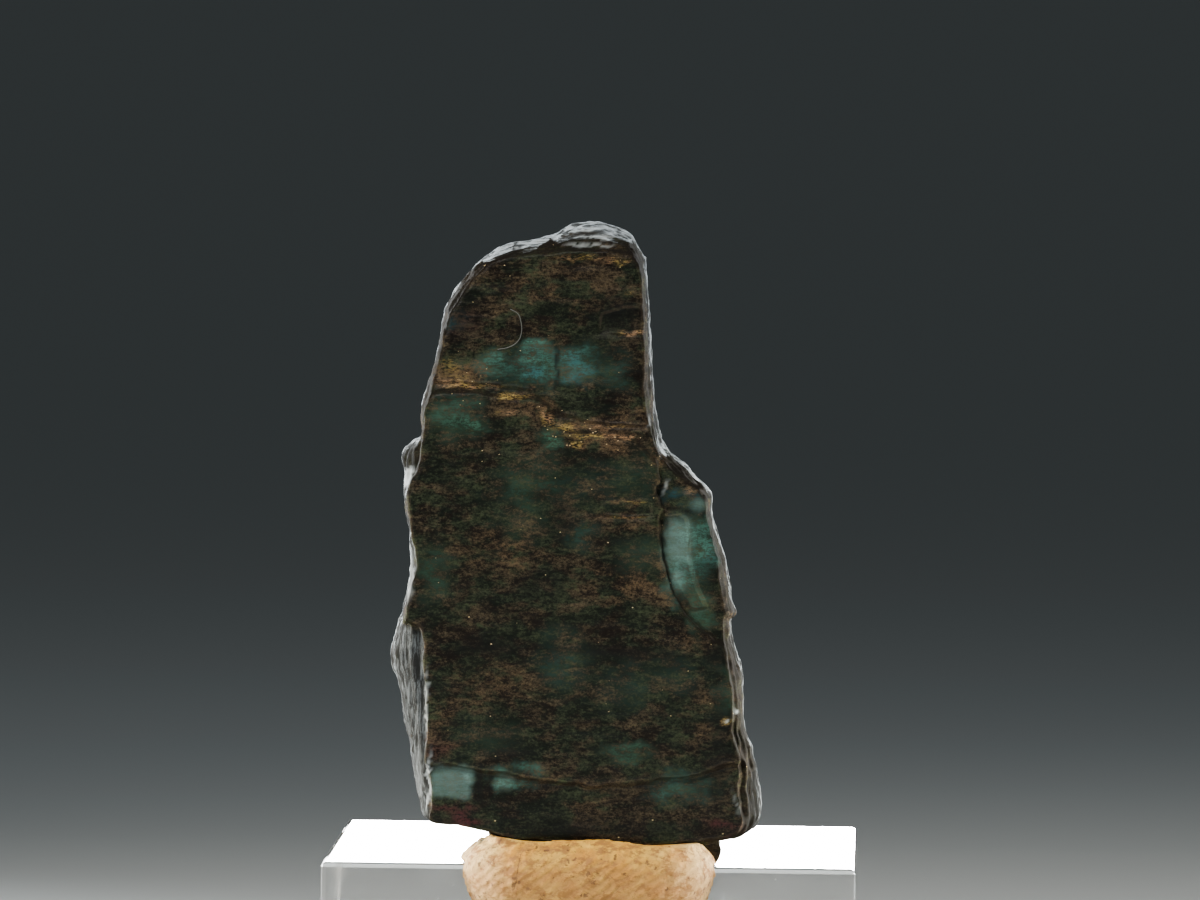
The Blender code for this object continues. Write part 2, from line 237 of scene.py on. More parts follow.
face_group = weigh(crystal, "faces", faceness)
rim_group = weigh(crystal, "rim", rimness)
relief(crystal, "swells", (7.0, 7.0, 4.0), 0.16, seed=0.4)
relief(crystal, "level_streaks", (5.0, 3.0, 0.55), 0.10, group=face_group, seed=1.7)
relief(crystal, "fine_streaks", (1.8, 1.0, 0.36), 0.05, group=face_group, depth=1, seed=2.3)
relief(crystal, "leaf_edges", (2.6, 0.42, 2.6), 0.30, group=rim_group, seed=3.1)
relief(crystal, "rim_chips", (0.8, 0.7, 0.8), 0.24, group=rim_group, seed=4.9)
print(f"Crystal net: {len(crystal.data.vertices)} vertices")

# %% [markdown]
# The solid's stub ends just above the block, because solids keep a gap between them. The real crystal stands
# on the block, so the lowest part of the net is let down by nearly that gap, and the part above it eases out.

# %% Stand the stub on the block
STUB_TOP = 1.0
STUB_FOOT = 0.35
STUB_DROP = 0.27
for vertex in crystal.data.vertices:
    height = (vertex.co.z - BLOCK_TOP) / MM
    if height < STUB_TOP:
        vertex.co.z -= STUB_DROP * MM * smooth_ramp(STUB_TOP - height, 0.0, STUB_TOP - STUB_FOOT)
lowest = min(vertex.co.z for vertex in crystal.data.vertices)
print(f"The stub ends {(lowest - BLOCK_TOP) / MM:.2f} mm above the block")

# %% [markdown]
# ### Where the crystal's colours lie
#
# Fresh vivianite is clear; light turns it blue, green and then nearly black, and a bronze film grows on its
# cleavage faces. So each colour lies in its own places. Here every place is a soft blot: a centre, a half
# width and a half height in millimetres, how soft its edge is, how square it is, how strong it is, and for
# a slanted one how many degrees its top leans to the right. The blots are painted on the net's points as
# attributes, which follow the surface, and the material reads them later.
#
# Windows are where the film is thin. Their colour is the crystal's own green and blue, brightened by painted
# light that stands for the light from behind. Most are teal or green, the deepest are blue, and the palest
# lie on the freshest breaks, in the wing at the right and at the foot.

# %% Windows: x, z, half width, half height, softness, squareness, strength, lean
TEAL_WINDOWS = [
    (-5.8, 29.7, 3.0, 1.2, 1.0, 0.1, 0.65),
    (-3.5, 30.6, 1.7, 1.0, 1.0, 0.0, 0.90),
    (-3.0, 29.7, 2.8, 2.1, 1.0, 0.0, 0.65),
    (-0.9, 29.9, 2.2, 1.8, 1.0, 0.0, 0.55),
    (1.2, 29.6, 2.0, 1.6, 1.0, 0.0, 0.30),
    (-0.7, 19.7, 1.8, 1.6, 1.0, 0.0, 0.25),
    (-1.6, 12.2, 2.6, 3.1, 1.0, 0.0, 0.22),
    (2.2, 10.9, 3.2, 2.4, 1.0, 0.0, 0.16),
    (4.9, 11.4, 3.0, 2.4, 1.0, 0.0, 0.14),
    (5.0, 4.8, 2.4, 1.3, 1.0, 0.1, 0.46),
    (7.0, 5.1, 1.2, 1.4, 1.0, 0.1, 0.26),
    (-4.8, 4.95, 1.25, 1.05, 0.7, 0.4, 0.62),
    (-4.0, 5.2, 1.7, 0.6, 0.9, 0.3, 0.55),
    (5.2, 17.3, 1.4, 2.2, 1.0, 0.2, 0.85, 12),
    (6.4, 19.2, 1.7, 2.8, 1.0, 0.1, 0.85),
    (-0.2, 22.6, 3.6, 2.4, 1.0, 0.0, 0.15),
    (-8.0, 26.9, 2.4, 1.6, 1.0, 0.1, 0.25),
]
GREEN_WINDOWS = [
    (-8.0, 26.5, 2.4, 2.2, 1.0, 0.1, 0.50),
    (-7.2, 26.2, 1.9, 1.4, 1.0, 0.0, 0.62),
    (-2.5, 25.2, 1.7, 1.1, 0.9, 0.0, 0.75, -20),
    (-3.8, 22.7, 3.2, 2.6, 1.0, 0.0, 0.30),
    (-4.2, 20.4, 2.8, 2.1, 1.0, 0.0, 0.20),
    (-9.2, 17.4, 1.6, 2.8, 1.0, 0.0, 0.30),
    (6.4, 15.3, 1.5, 2.1, 1.0, 0.0, 0.46),
    (8.0, 10.8, 1.0, 2.5, 0.9, 0.1, 0.26),
    (2.3, 6.8, 2.6, 0.9, 1.0, 0.0, 0.42),
    (-6.0, 7.6, 3.8, 1.8, 1.0, 0.0, 0.16),
    (2.8, 23.4, 2.8, 2.4, 1.0, 0.0, 0.18),
    (3.0, 18.6, 2.4, 2.2, 1.0, 0.0, 0.20),
]
BLUE_WINDOWS = [
    (-3.3, 29.4, 1.1, 1.0, 1.0, 0.0, 0.70),
    (-1.0, 29.6, 1.5, 1.3, 1.0, 0.1, 0.50),
    (6.7, 18.6, 0.9, 1.4, 1.0, 0.0, 0.35),
    (-8.8, 32.4, 1.2, 1.2, 1.0, 0.0, 0.35),
    (5.2, 22.0, 1.4, 0.9, 1.0, 0.0, 0.40),
]
PALE_WINDOWS = [
    (5.1, 19.3, 1.25, 2.2, 0.70, 0.50, 0.54),
    (5.1, 17.2, 0.9, 1.0, 0.9, 0.2, 0.55),
    (6.3, 21.6, 0.8, 0.7, 1.0, 0.0, 0.45),
    (-8.05, 5.0, 1.38, 1.15, 0.30, 0.92, 0.46, 3),
    (-7.2, 5.3, 0.7, 0.8, 0.9, 0.2, 0.70),
    (-5.05, 5.05, 0.95, 0.80, 0.8, 0.4, 0.30, 20),
]
print("Windows:", len(TEAL_WINDOWS + GREEN_WINDOWS + BLUE_WINDOWS + PALE_WINDOWS))

# %% [markdown]
# The film is thickest where `BRONZE` lies, and a few places are stained dull red.

# %% Stains and film, as rows of the same kind
RED_STAINS = [
    (-8.4, 3.5, 1.5, 0.6, 0.9, 0.4, 0.70),
    (-7.3, 2.9, 1.5, 0.55, 0.9, 0.3, 1.00),
    (8.0, 2.6, 2.0, 0.6, 0.9, 0.1, 0.80, 12),
    (-9.0, 7.0, 0.9, 1.0, 1.0, 0.0, 0.40),
    (-7.9, 32.3, 1.6, 1.5, 1.0, 0.0, 0.30),
]
BRONZE = [
    (-2.8, 34.4, 7.5, 3.2, 1.0, 0.1, 0.45),
    (-7.6, 29.2, 2.6, 1.5, 1.0, 0.0, 1.00),
    (-3.6, 27.6, 3.2, 1.4, 1.0, 0.1, 0.90),
    (0.6, 25.9, 3.6, 1.5, 1.0, 0.1, 0.95),
    (3.3, 27.0, 1.4, 1.8, 1.0, 0.1, 0.60),
    (4.1, 24.0, 0.9, 2.4, 1.0, 0.1, 0.70, 16),
    (2.0, 21.3, 3.0, 1.4, 1.0, 0.1, 0.70),
    (2.2, 17.0, 3.8, 2.2, 1.0, 0.0, 0.80),
    (-5.2, 18.8, 4.6, 2.2, 1.0, 0.0, 0.55),
    (-5.6, 10.8, 3.8, 2.4, 1.0, 0.0, 0.55),
    (5.8, 13.6, 2.4, 1.2, 1.0, 0.0, 0.45),
    (-1.0, 4.4, 3.2, 1.6, 1.0, 0.0, 0.50),
    (6.8, 8.8, 1.6, 3.0, 1.0, 0.0, 0.45),
    (-8.6, 8.4, 1.6, 2.2, 1.0, 0.0, 0.55),
]
print("Stains and thick film:", len(RED_STAINS + BRONZE))

# %% [markdown]
# Gold glints, painted highlights, run along the ledges in thin, nearly level lines. Around them lie the zones
# with more painted sparks.

# %% Gold lines and zones of sparks, as rows of the same kind
GOLD_GLINT_LINES = [
    (-7.4, 28.40, 2.6, 0.16, 0.9, 0.5, 1.00),
    (-8.2, 28.75, 1.6, 0.50, 1.0, 0.2, 0.60),
    (-8.4, 29.60, 1.1, 0.70, 1.0, 0.1, 0.35),
    (-4.7, 27.85, 1.5, 0.16, 0.9, 0.5, 1.00),
    (-5.3, 27.85, 0.5, 0.26, 0.8, 0.3, 1.00),
    (-4.9, 26.90, 1.3, 0.14, 0.9, 0.5, 0.55),
    (-2.7, 26.6, 0.5, 1.0, 0.9, 0.1, 0.95, -24),
    (-1.6, 26.1, 1.0, 0.30, 0.9, 0.3, 0.80, 14),
    (0.6, 26.10, 2.2, 0.14, 0.9, 0.5, 0.65),
    (0.4, 25.60, 2.8, 0.20, 0.9, 0.5, 0.95),
    (1.9, 25.55, 1.0, 0.16, 0.8, 0.4, 1.00),
    (-1.0, 25.05, 0.8, 0.22, 0.9, 0.3, 0.85),
    (2.2, 31.70, 1.0, 0.13, 0.8, 0.5, 1.00),
    (-0.6, 36.10, 2.6, 0.16, 0.9, 0.5, 0.55),
    (1.3, 35.90, 1.2, 0.14, 0.9, 0.5, 0.75),
    (2.0, 34.10, 0.8, 0.10, 0.9, 0.5, 0.45),
    (2.2, 21.75, 1.6, 0.11, 0.9, 0.5, 0.50),
    (1.8, 20.80, 2.0, 0.11, 0.9, 0.5, 0.50),
    (5.8, 22.40, 0.5, 0.30, 0.9, 0.2, 0.60),
    (8.05, 8.75, 0.34, 0.26, 0.7, 0.2, 1.00),
]
SPARK_ZONES = [
    (-7.0, 28.6, 3.2, 1.2, 1.0, 0.2, 0.9),
    (-2.4, 26.7, 1.3, 1.6, 1.0, 0.2, 1.0),
    (0.6, 25.7, 3.4, 1.0, 1.0, 0.3, 1.0),
    (-6.2, 35.6, 1.4, 0.8, 1.0, 0.2, 0.6),
    (1.2, 35.9, 1.8, 1.0, 1.0, 0.2, 0.6),
    (4.0, 24.6, 1.0, 2.0, 1.0, 0.2, 0.5),
]
print("Gold lines and spark zones:", len(GOLD_GLINT_LINES + SPARK_ZONES))

# %% [markdown]
# Dark blots are of two kinds, both painted near black: narrow upright cracks through the windows, and broad
# clouds of painted shade where the crystal is too thick for any light.

# %% Cracks and clouds of painted shade, as rows of the same kind
SHADOWS = [
    (-2.15, 29.8, 0.19, 1.9, 0.8, 0.8, 1.00),
    (0.25, 29.8, 0.14, 1.2, 0.9, 0.6, 0.50),
    (-6.45, 4.9, 0.24, 1.3, 0.5, 0.9, 1.00),
    (-5.85, 4.9, 0.16, 1.2, 0.5, 0.9, 0.90),
    (5.0, 21.30, 1.3, 0.13, 0.6, 0.8, 0.90),
    (3.65, 18.9, 0.16, 2.6, 0.9, 0.6, 0.30, -4),
    (-7.9, 32.2, 2.2, 2.0, 1.0, 0.0, 0.60),
    (-6.0, 13.0, 4.0, 0.9, 1.0, 0.0, 0.90),
    (1.5, 12.9, 6.0, 0.6, 1.0, 0.0, 0.85),
    (7.6, 12.6, 1.4, 1.6, 1.0, 0.0, 0.80),
    (1.3, 32.6, 2.6, 2.8, 1.0, 0.0, 0.75),
    (7.7, 7.5, 1.0, 6.0, 1.0, 0.0, 0.70),
    (-1.6, 20.6, 1.3, 2.0, 1.0, 0.0, 0.60),
    (0.4, 2.4, 9.0, 0.9, 1.0, 0.2, 0.60),
    (-4.4, 6.6, 2.0, 2.0, 1.0, 0.0, 0.45),
    (-3.0, 16.8, 2.6, 1.8, 1.0, 0.0, 0.45),
]
print("Cracks and dark clouds:", len(SHADOWS))

# %% [markdown]
# The rim is broad in some zones, and in two of them its leaves stand on end like the pages of a book. A few
# small breaks on it get white painted highlights, and others nearly black painted shade.

# %% The rim, as rows of the same kind
RIM_ZONES = [
    (-10.6, 10.4, 1.15, 4.1, 0.12, 0.9, 1.00),
    (-10.0, 5.0, 0.75, 2.6, 0.15, 0.8, 1.00),
    (-10.8, 18.0, 0.9, 3.0, 0.2, 0.8, 1.00),
    (-10.9, 23.6, 1.0, 2.2, 0.2, 0.8, 1.00),
    (-0.2, 37.7, 2.9, 1.0, 0.3, 0.6, 1.00),
    (-4.9, 36.7, 2.4, 0.8, 0.3, 0.6, 1.00, -20),
    (3.2, 32.0, 0.9, 4.4, 0.3, 0.8, 0.30, 3),
    (4.0, 25.6, 1.2, 2.4, 0.6, 0.6, 0.90, 20),
    (9.7, 3.8, 0.9, 2.4, 0.4, 0.6, 0.90),
]
BOOK_EDGE = [
    (-10.6, 10.4, 1.05, 3.9, 0.15, 0.9, 1.00),
    (-10.05, 4.9, 0.72, 2.6, 0.15, 0.9, 1.00),
]
WHITE_FACET_HIGHLIGHTS = [
    (-10.78, 17.2, 0.34, 2.0, 0.50, 0.1, 0.30),
    (-10.95, 22.95, 0.33, 0.80, 0.3, 0.4, 0.75, 28),
    (-10.10, 5.0, 0.30, 2.2, 0.5, 0.5, 0.08),
    (-9.62, 9.6, 0.09, 2.6, 0.6, 0.9, 0.40, 1),
    (-9.45, 5.0, 0.09, 2.3, 0.6, 0.9, 0.55, 3),
    (8.75, 4.0, 0.14, 1.0, 0.9, 0.5, 0.20, -14),
    (8.10, 8.72, 0.13, 0.11, 0.8, 0.0, 1.00),
    (8.66, 9.40, 0.16, 0.13, 0.8, 0.0, 1.00),
    (4.25, 22.6, 0.13, 0.8, 0.9, 0.4, 0.40, 16),
    (3.25, 26.4, 0.12, 0.5, 0.9, 0.4, 0.30, 6),
    (-0.4, 37.80, 1.3, 0.10, 0.8, 0.5, 0.45),
    (0.3, 37.30, 1.8, 0.10, 0.8, 0.5, 0.55),
    (-0.2, 36.84, 2.0, 0.09, 0.8, 0.5, 0.45),
]
DARK_FACET_SHADES = [
    (-10.70, 24.35, 0.50, 0.72, 0.3, 0.5, 0.95),
    (3.3, 31.0, 0.9, 5.8, 0.3, 0.8, 0.25, 3),
    (9.3, 4.6, 1.0, 3.0, 0.5, 0.6, 0.85),
    (8.1, 13.0, 0.7, 7.5, 0.4, 0.6, 0.45, -9.7),
    (-10.9, 20.8, 0.9, 1.5, 0.6, 0.5, 0.85),
    (-10.8, 15.6, 0.9, 1.3, 0.8, 0.3, 0.45),
    (-0.2, 37.55, 1.3, 0.20, 0.5, 0.5, 0.85),
    (0.7, 37.05, 1.7, 0.17, 0.5, 0.5, 0.90),
    (-0.2, 36.62, 2.0, 0.15, 0.5, 0.5, 0.90),
    (-5.0, 36.35, 1.6, 0.13, 0.5, 0.5, 0.90, -62),
]
print("Blots on the rim:", len(RIM_ZONES + BOOK_EDGE + WHITE_FACET_HIGHLIGHTS + DARK_FACET_SHADES))

# %% [markdown]
# A blot with a clean round edge would look drawn, so the places that it is worked out from are first pushed
# about by a noise: by a good half millimetre for windows and film, and by very little for lines and facets.
# The noise is a sum of waves whose directions come from a seeded generator, so it is the same each run.

# %% Paint the blots on the net
RAGGED = {"cell": 1.2, "reach": 0.75, "seed": 3}
CRISP = {"cell": 0.7, "reach": 0.14, "seed": 8}
OCTAVES, WAVES = 4, 9
WAVE_HEIGHT, WAVE_FADE = 0.15, 0.55
LEVEL_SQUASH = (1.0, 1.0, 1.6)


def blot_strength(x, z, rows):
    """How strong the strongest of several blots is at each point."""
    strongest = np.zeros(len(x))
    for middle_x, middle_z, half_width, half_height, softness, squareness, strength, *lean in rows:
        turn = math.radians(sum(lean))
        across = (x - middle_x) * math.cos(turn) - (z - middle_z) * math.sin(turn)
        along = (x - middle_x) * math.sin(turn) + (z - middle_z) * math.cos(turn)
        across, along = np.abs(across / half_width), np.abs(along / half_height)
        reach = np.hypot(across, along) * (1 - squareness) + np.maximum(across, along) * squareness
        share = np.clip((1 - reach) / softness, 0.0, 1.0)
        strongest = np.maximum(strongest, share * share * (3 - 2 * share) * strength)
    return strongest


def wandering(points, cell, chance):
    """A smooth noise at each point: waves in random directions, and ever shorter and weaker ones on top."""
    total = np.zeros(len(points))
    for octave in range(OCTAVES):
        for _ in range(WAVES):
            direction = chance.normal(size=3)
            direction *= math.pi * 2 ** octave / (cell * np.linalg.norm(direction))
            wave = np.sin(points @ direction + chance.uniform(0, 2 * math.pi))
            total += WAVE_HEIGHT * WAVE_FADE ** octave * wave
    return total


def strayed(points, cell, reach, seed):
    """The points' x and z, pushed about by a noise of the given cell and reach in millimetres."""
    chance = np.random.default_rng(seed)
    squashed = points * LEVEL_SQUASH
    return (points[:, 0] + reach * wandering(squashed, cell, chance),
            points[:, 2] + reach * wandering(squashed, cell, chance))


def paint(piece, name, strengths):
    """Writes one number for each of the net's points."""
    piece.data.attributes.new(name, "FLOAT", "POINT").data.foreach_set("value", strengths)


ragged_blots = {
    "teal": TEAL_WINDOWS, "green": GREEN_WINDOWS, "blue": BLUE_WINDOWS,
    "red": RED_STAINS, "bronze": BRONZE, "sparks": SPARK_ZONES,
}
crisp_blots = {
    "pale": PALE_WINDOWS, "gold": GOLD_GLINT_LINES, "shadow": SHADOWS,
    "rim_zone": RIM_ZONES, "book": BOOK_EDGE, "white_highlight": WHITE_FACET_HIGHLIGHTS, "dark": DARK_FACET_SHADES,
}
corners = [(vertex.co.x, vertex.co.y, vertex.co.z - BLOCK_TOP) for vertex in crystal.data.vertices]
points = np.array(corners) / MM
for blots, edge in ((ragged_blots, RAGGED), (crisp_blots, CRISP)):
    edge_places = strayed(points, **edge)
    for name, rows in blots.items():
        paint(crystal, name, blot_strength(*edge_places, rows))
print(len(crystal.data.attributes), "attributes on", len(points), "points")

# %% [markdown]
# ## A fibre of lint
#
# One short fibre clings to the upper part of the face and curls round like a hook. A curve with a little
# thickness makes it. A ray from the front finds the crystal's surface at each of its points, so that it lies
# just in front of the face, and the curve is then turned into a mesh.

# %% Lint fibre
FIBRE_THICKNESS = 0.028
FIBRE_POINTS = [
    (-4.96, 33.02), (-4.5, 32.75), (-4.33, 32.35), (-4.3, 31.55),
    (-4.52, 31.1), (-5.05, 30.76), (-5.68, 30.63),
]


def surface_of(piece):
    """A search tree for a piece's surface: it finds where a ray hits it, and how near a point is to it."""
    return BVHTree.FromPolygons([vertex.co for vertex in piece.data.vertices],
                                [face.vertices for face in piece.data.polygons])


face_tree = surface_of(crystal)
bpy.ops.object.select_all(action="DESELECT")
bpy.ops.curve.primitive_bezier_curve_add()
fibre = bpy.context.object
fibre.name = "lint_fibre"
fibre.data.splines.clear()
strand = fibre.data.splines.new("BEZIER")
strand.bezier_points.add(len(FIBRE_POINTS) - 1)
for point, (x, z) in zip(strand.bezier_points, FIBRE_POINTS):
    start = Vector((x * MM, -1.0, BLOCK_TOP + z * MM))
    hit = face_tree.ray_cast(start, Vector((0.0, 1.0, 0.0)))[0]
    point.co = hit - Vector((0.0, FIBRE_THICKNESS * MM, 0.0))
    point.handle_left_type = point.handle_right_type = "AUTO"
fibre.data.bevel_depth = FIBRE_THICKNESS * MM
fibre.data.bevel_resolution = 2
fibre.data.use_fill_caps = True
pick(fibre)
bpy.ops.object.convert(target="MESH")
print("Lint fibre:", len(fibre.data.polygons), "faces")

# %% [markdown]
# ## The putty
#
# The solid leaves a gap of 0.3 mm to its neighbours. Real putty is pressed hard against them, so the part of
# its surface that faces the crystal or the block is found by measuring how near they are, and pushed out.
# The free surface gets the thumb's dents, a few creases and a fine grain. The ridges that a fingertip leaves
# are finer than the net, so they wait for the material.

# %% Putty net
PUTTY_VOXEL = 0.13 * MM
putty = copy_of_solid("putty", "putty_lump")
bake_modifier(putty, "REMESH", mode="VOXEL", voxel_size=PUTTY_VOXEL, adaptivity=0.0)
bake_modifier(putty, "SMOOTH", factor=0.5, iterations=6)
print(f"Putty net: {len(putty.data.vertices)} vertices")

# %% Putty pressed against its neighbours, and its relief
SOLID_GAP = 0.3
CONTACT_PUSH = 0.27
CONTACT_EDGE = (SOLID_GAP + 0.06, SOLID_GAP + 0.22)
neighbours = [surface_of(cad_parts[node]) for node in ("crystal", "display_block")]


def contact(vertex):
    """1 where the putty faces a neighbour across the solids' gap, 0 on its free surface."""
    nearest = min(tree.find_nearest(vertex.co)[3] for tree in neighbours)
    return 1.0 - smooth_ramp(nearest / MM, *CONTACT_EDGE)


def free(vertex):
    return 1.0 - contact(vertex)


contact_group = weigh(putty, "contact", contact)
free_group = weigh(putty, "free", free)
bake_modifier(putty, "DISPLACE", strength=CONTACT_PUSH * MM, mid_level=0.0, vertex_group=contact_group)
bake_modifier(putty, "SMOOTH", factor=0.5, iterations=4)
relief(putty, "thumb_dents", (3.4, 3.4, 2.2), 0.26, group=free_group, seed=0.9)
relief(putty, "creases", (0.5, 1.2, 1.4), 0.10, group=free_group, seed=2.1)
relief(putty, "grain", (0.32, 0.32, 0.32), 0.05, group=free_group, depth=1, seed=3.3)
print(f"Putty pressed out by {CONTACT_PUSH} mm across a gap of {SOLID_GAP} mm")

# %% [markdown]
# ## Helpers for materials
#
# A material is a tree of nodes. These helpers add nodes and wire them up as they go: a value that is given as
# a socket is linked, and a plain value is typed in. That keeps each recipe short enough to read.

# %% Writing node trees


def feed(tree, socket, value):
    """Links a socket to another one, or sets it to a plain value."""
    if isinstance(value, bpy.types.NodeSocket):
        tree.links.new(value, socket)
    else:
        socket.default_value = value


def add(tree, kind, inputs, output=0, **settings):
    """Adds a node, feeds its inputs by name or number, and returns one of its outputs."""
    node = tree.nodes.new(kind)
    for name, value in settings.items():
        setattr(node, name, value)
    for name, value in inputs.items():
        feed(tree, node.inputs[name], value)
    return node.outputs[output]


def math_of(tree, operation, *values):
    return add(tree, "ShaderNodeMath", dict(enumerate(values)), operation=operation)


def times(tree, first, *others):
    """The product of several values."""
    for other in others:
        first = math_of(tree, "MULTIPLY", first, other)
    return first


def highest(tree, first, *others):
    """The highest of several values."""
    for other in others:
        first = math_of(tree, "MAXIMUM", first, other)
    return first


def one_minus(tree, value):
    return math_of(tree, "SUBTRACT", 1.0, value)


def weighted_sum(tree, *pairs):
    """The sum of several values, each times its own weight."""
    total, *others = [math_of(tree, "MULTIPLY", value, weight) for value, weight in pairs]
    for other in others:
        total = math_of(tree, "ADD", total, other)
    return total


def ramp_of(tree, value, low, high, to_low=0.0, to_high=1.0):
    """An eased step from to_low to to_high while the value runs from low to high."""
    inputs = {"Value": value, "From Min": low, "From Max": high, "To Min": to_low, "To Max": to_high}
    return add(tree, "ShaderNodeMapRange", inputs, interpolation_type="SMOOTHSTEP")


# %% [markdown]
# Patterns are noises. A noise is read at the place on the piece, in millimetres, and stretching that place
# makes its cells long or flat: 0.5 along an axis gives cells of about two millimetres, and 5 a fifth of one.

# %% Patterns and colours


def noise_of(tree, vector, detail=3.0, roughness=0.55):
    inputs = {"Vector": vector, "Scale": 1.0, "Detail": detail, "Roughness": roughness}
    return add(tree, "ShaderNodeTexNoise", inputs)


def stretched(tree, vector, per_mm):
    """The same place in another measure: how often a pattern repeats per millimetre along each axis."""
    return add(tree, "ShaderNodeVectorMath", {0: vector, 1: per_mm}, operation="MULTIPLY")


def mixed(tree, factor, first, second):
    """Blends two colours."""
    inputs = {0: factor, 6: first, 7: second}
    return add(tree, "ShaderNodeMix", inputs, output=2, data_type="RGBA")


def between(tree, factor, first, second):
    """Blends two numbers."""
    return add(tree, "ShaderNodeMix", {0: factor, 2: first, 3: second})


def rgb(red, green, blue):
    return (red, green, blue, 1.0)


# %% [markdown]
# Every material starts in the same way: from an empty material, and from the place on the piece in
# millimetres. A pattern that reads the place stays on the piece when it is seen from another side. A piece is
# finished by putting the material on it, hanging it on its body and hiding the plain solids that it stands
# for.

# %% Starting and finishing a material


def parts_of(tree, vector):
    """The x, y and z of a vector."""
    node = tree.nodes.new("ShaderNodeSeparateXYZ")
    feed(tree, node.inputs[0], vector)
    return node.outputs["X"], node.outputs["Y"], node.outputs["Z"]


def place_in_mm(tree):
    """Where a point is on the object, in millimetres, with z counted from the block's top."""
    coordinates = add(tree, "ShaderNodeTexCoord", {}, output="Object")
    return add(
        tree, "ShaderNodeMapping",
        {"Vector": coordinates, "Scale": (1 / MM,) * 3, "Location": (0.0, 0.0, -BLOCK_TOP / MM)},
    )


def new_material(name):
    """An empty material with one Principled shader, and the two together."""
    material = bpy.data.materials.new(name)
    material.use_nodes = True
    return material, material.node_tree, material.node_tree.nodes["Principled BSDF"]


def finish(piece, material, slot, *nodes):
    """Gives a piece its material, hangs it on the body that it rides on and hides the solids that it stands
    for.
    """
    piece.data.materials.clear()
    piece.data.materials.append(material)
    pick(piece)
    bpy.ops.object.shade_smooth()
    piece.vertex_groups.clear()
    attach(piece, "root")
    if nodes:
        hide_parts(*nodes)
    print(f"{piece.name}: {len(piece.data.polygons)} faces")


# %% [markdown]
# ### A shared effect
#
# One effect comes back in the crystal, the putty and the block, so it is a node group that is built once.
# *Specks* are small scattered dots or dashes: glints in the crystal, grit in the putty and dust on the block.
# A cell texture scatters points and gives each cell a random colour. One part of that colour picks the cells
# that get a speck, and another part sets how large it is.

# %% Making and using a node group


def new_group(name, inputs, outputs):
    """A node group with named sockets. Returns the tree and its input sockets by name."""
    tree = bpy.data.node_groups.new(name, "ShaderNodeTree")
    for label, kind in inputs.items():
        tree.interface.new_socket(name=label, in_out="INPUT", socket_type=f"NodeSocket{kind}")
    for label, kind in outputs.items():
        tree.interface.new_socket(name=label, in_out="OUTPUT", socket_type=f"NodeSocket{kind}")
    entry = tree.nodes.new("NodeGroupInput")
    return tree, entry.outputs


def close_group(tree, results):
    """Feeds the group's outputs, by name."""
    exit_node = tree.nodes.new("NodeGroupOutput")
    for label, value in results.items():
        feed(tree, exit_node.inputs[label], value)


def use_group(tree, group, inputs):
    """Places a group in a material, feeds its inputs, and returns its one output."""
    node = tree.nodes.new("ShaderNodeGroup")
    node.node_tree = group
    for name, value in inputs.items():
        feed(tree, node.inputs[name], value)
    return node.outputs[0]


# %% Group: specks
specks, speck_in = new_group(
    "specks",
    {"Position": "Vector", "Per Mm": "Vector", "Amount": "Float", "Size": "Float"},
    {"Mask": "Float"},
)
speck_place = add(specks, "ShaderNodeVectorMath", {0: speck_in["Position"], 1: speck_in["Per Mm"]},
                  operation="MULTIPLY")
cells = specks.nodes.new("ShaderNodeTexVoronoi")
feed(specks, cells.inputs["Vector"], speck_place)
cells.inputs["Scale"].default_value = 1.0
cell_parts = specks.nodes.new("ShaderNodeSeparateColor")
feed(specks, cell_parts.inputs[0], cells.outputs["Color"])
chosen = math_of(specks, "LESS_THAN", cell_parts.outputs[0], speck_in["Amount"])
speck_size = times(specks, speck_in["Size"], cell_parts.outputs[1])
dot = math_of(specks, "LESS_THAN", cells.outputs["Distance"], speck_size)
close_group(specks, {"Mask": times(specks, chosen, dot)})
print("Group:", specks.name, "with inputs", ", ".join(speck_in.keys()))

# %% [markdown]
# ### Vivianite
#
# The front is a dark brown film with windows in it, where the light behind the crystal still comes through
# green or teal, as painted light. Gold glints, painted highlights, sit along the ledges. The rim shows the
# broken leaves from the side, grey with dark lines between them and brightened to silver by painted
# highlights. An image could be painted for all this, but it would stop at the front. Here every finish is
# worked out from the place on the crystal and the way that the surface faces, so it goes all round. The
# recipe is long, so each finish has a cell of its own, and `colour` is handed from one to the next.
#
# Three measures steer all the rest: how squarely a point faces the front or the back, how deep it lies behind
# the front face, and whether it is near enough to the front to carry the front's own windows and stains.

# %% Vivianite: where a point lies and which way it faces
FRONT_FACE = crystal_low.y / MM
BACK_FACE = crystal_high.y / MM
vivianite, tree, shader = new_material("vivianite")


def painted(tree, name):
    """A blot strength that was painted on the net."""
    return add(tree, "ShaderNodeAttribute", {}, output="Fac", attribute_name=name)


place = place_in_mm(tree)
place_y = parts_of(tree, place)[1]
plain_normal = add(tree, "ShaderNodeTexCoord", {}, output="Normal")
normal_x, normal_y, normal_z = parts_of(tree, plain_normal)
facing = math_of(tree, "ABSOLUTE", normal_y)
depth = math_of(tree, "SUBTRACT", place_y, FRONT_FACE)
front = ramp_of(tree, depth, 0.9, 1.6, 1.0, 0.0)
print(f"The crystal is {BACK_FACE - FRONT_FACE:.1f} mm from front to back")

# %% [markdown]
# The rim is where the surface turns away from the front and lies behind it. On most of the outline it shows
# as a thin line only, and in the painted zones as a broad band. A noise drawn out round the rim, one cell for
# each leaf, makes it start raggedly, so that leaves seem to end one after another. The same noise draws the
# leaves themselves later.

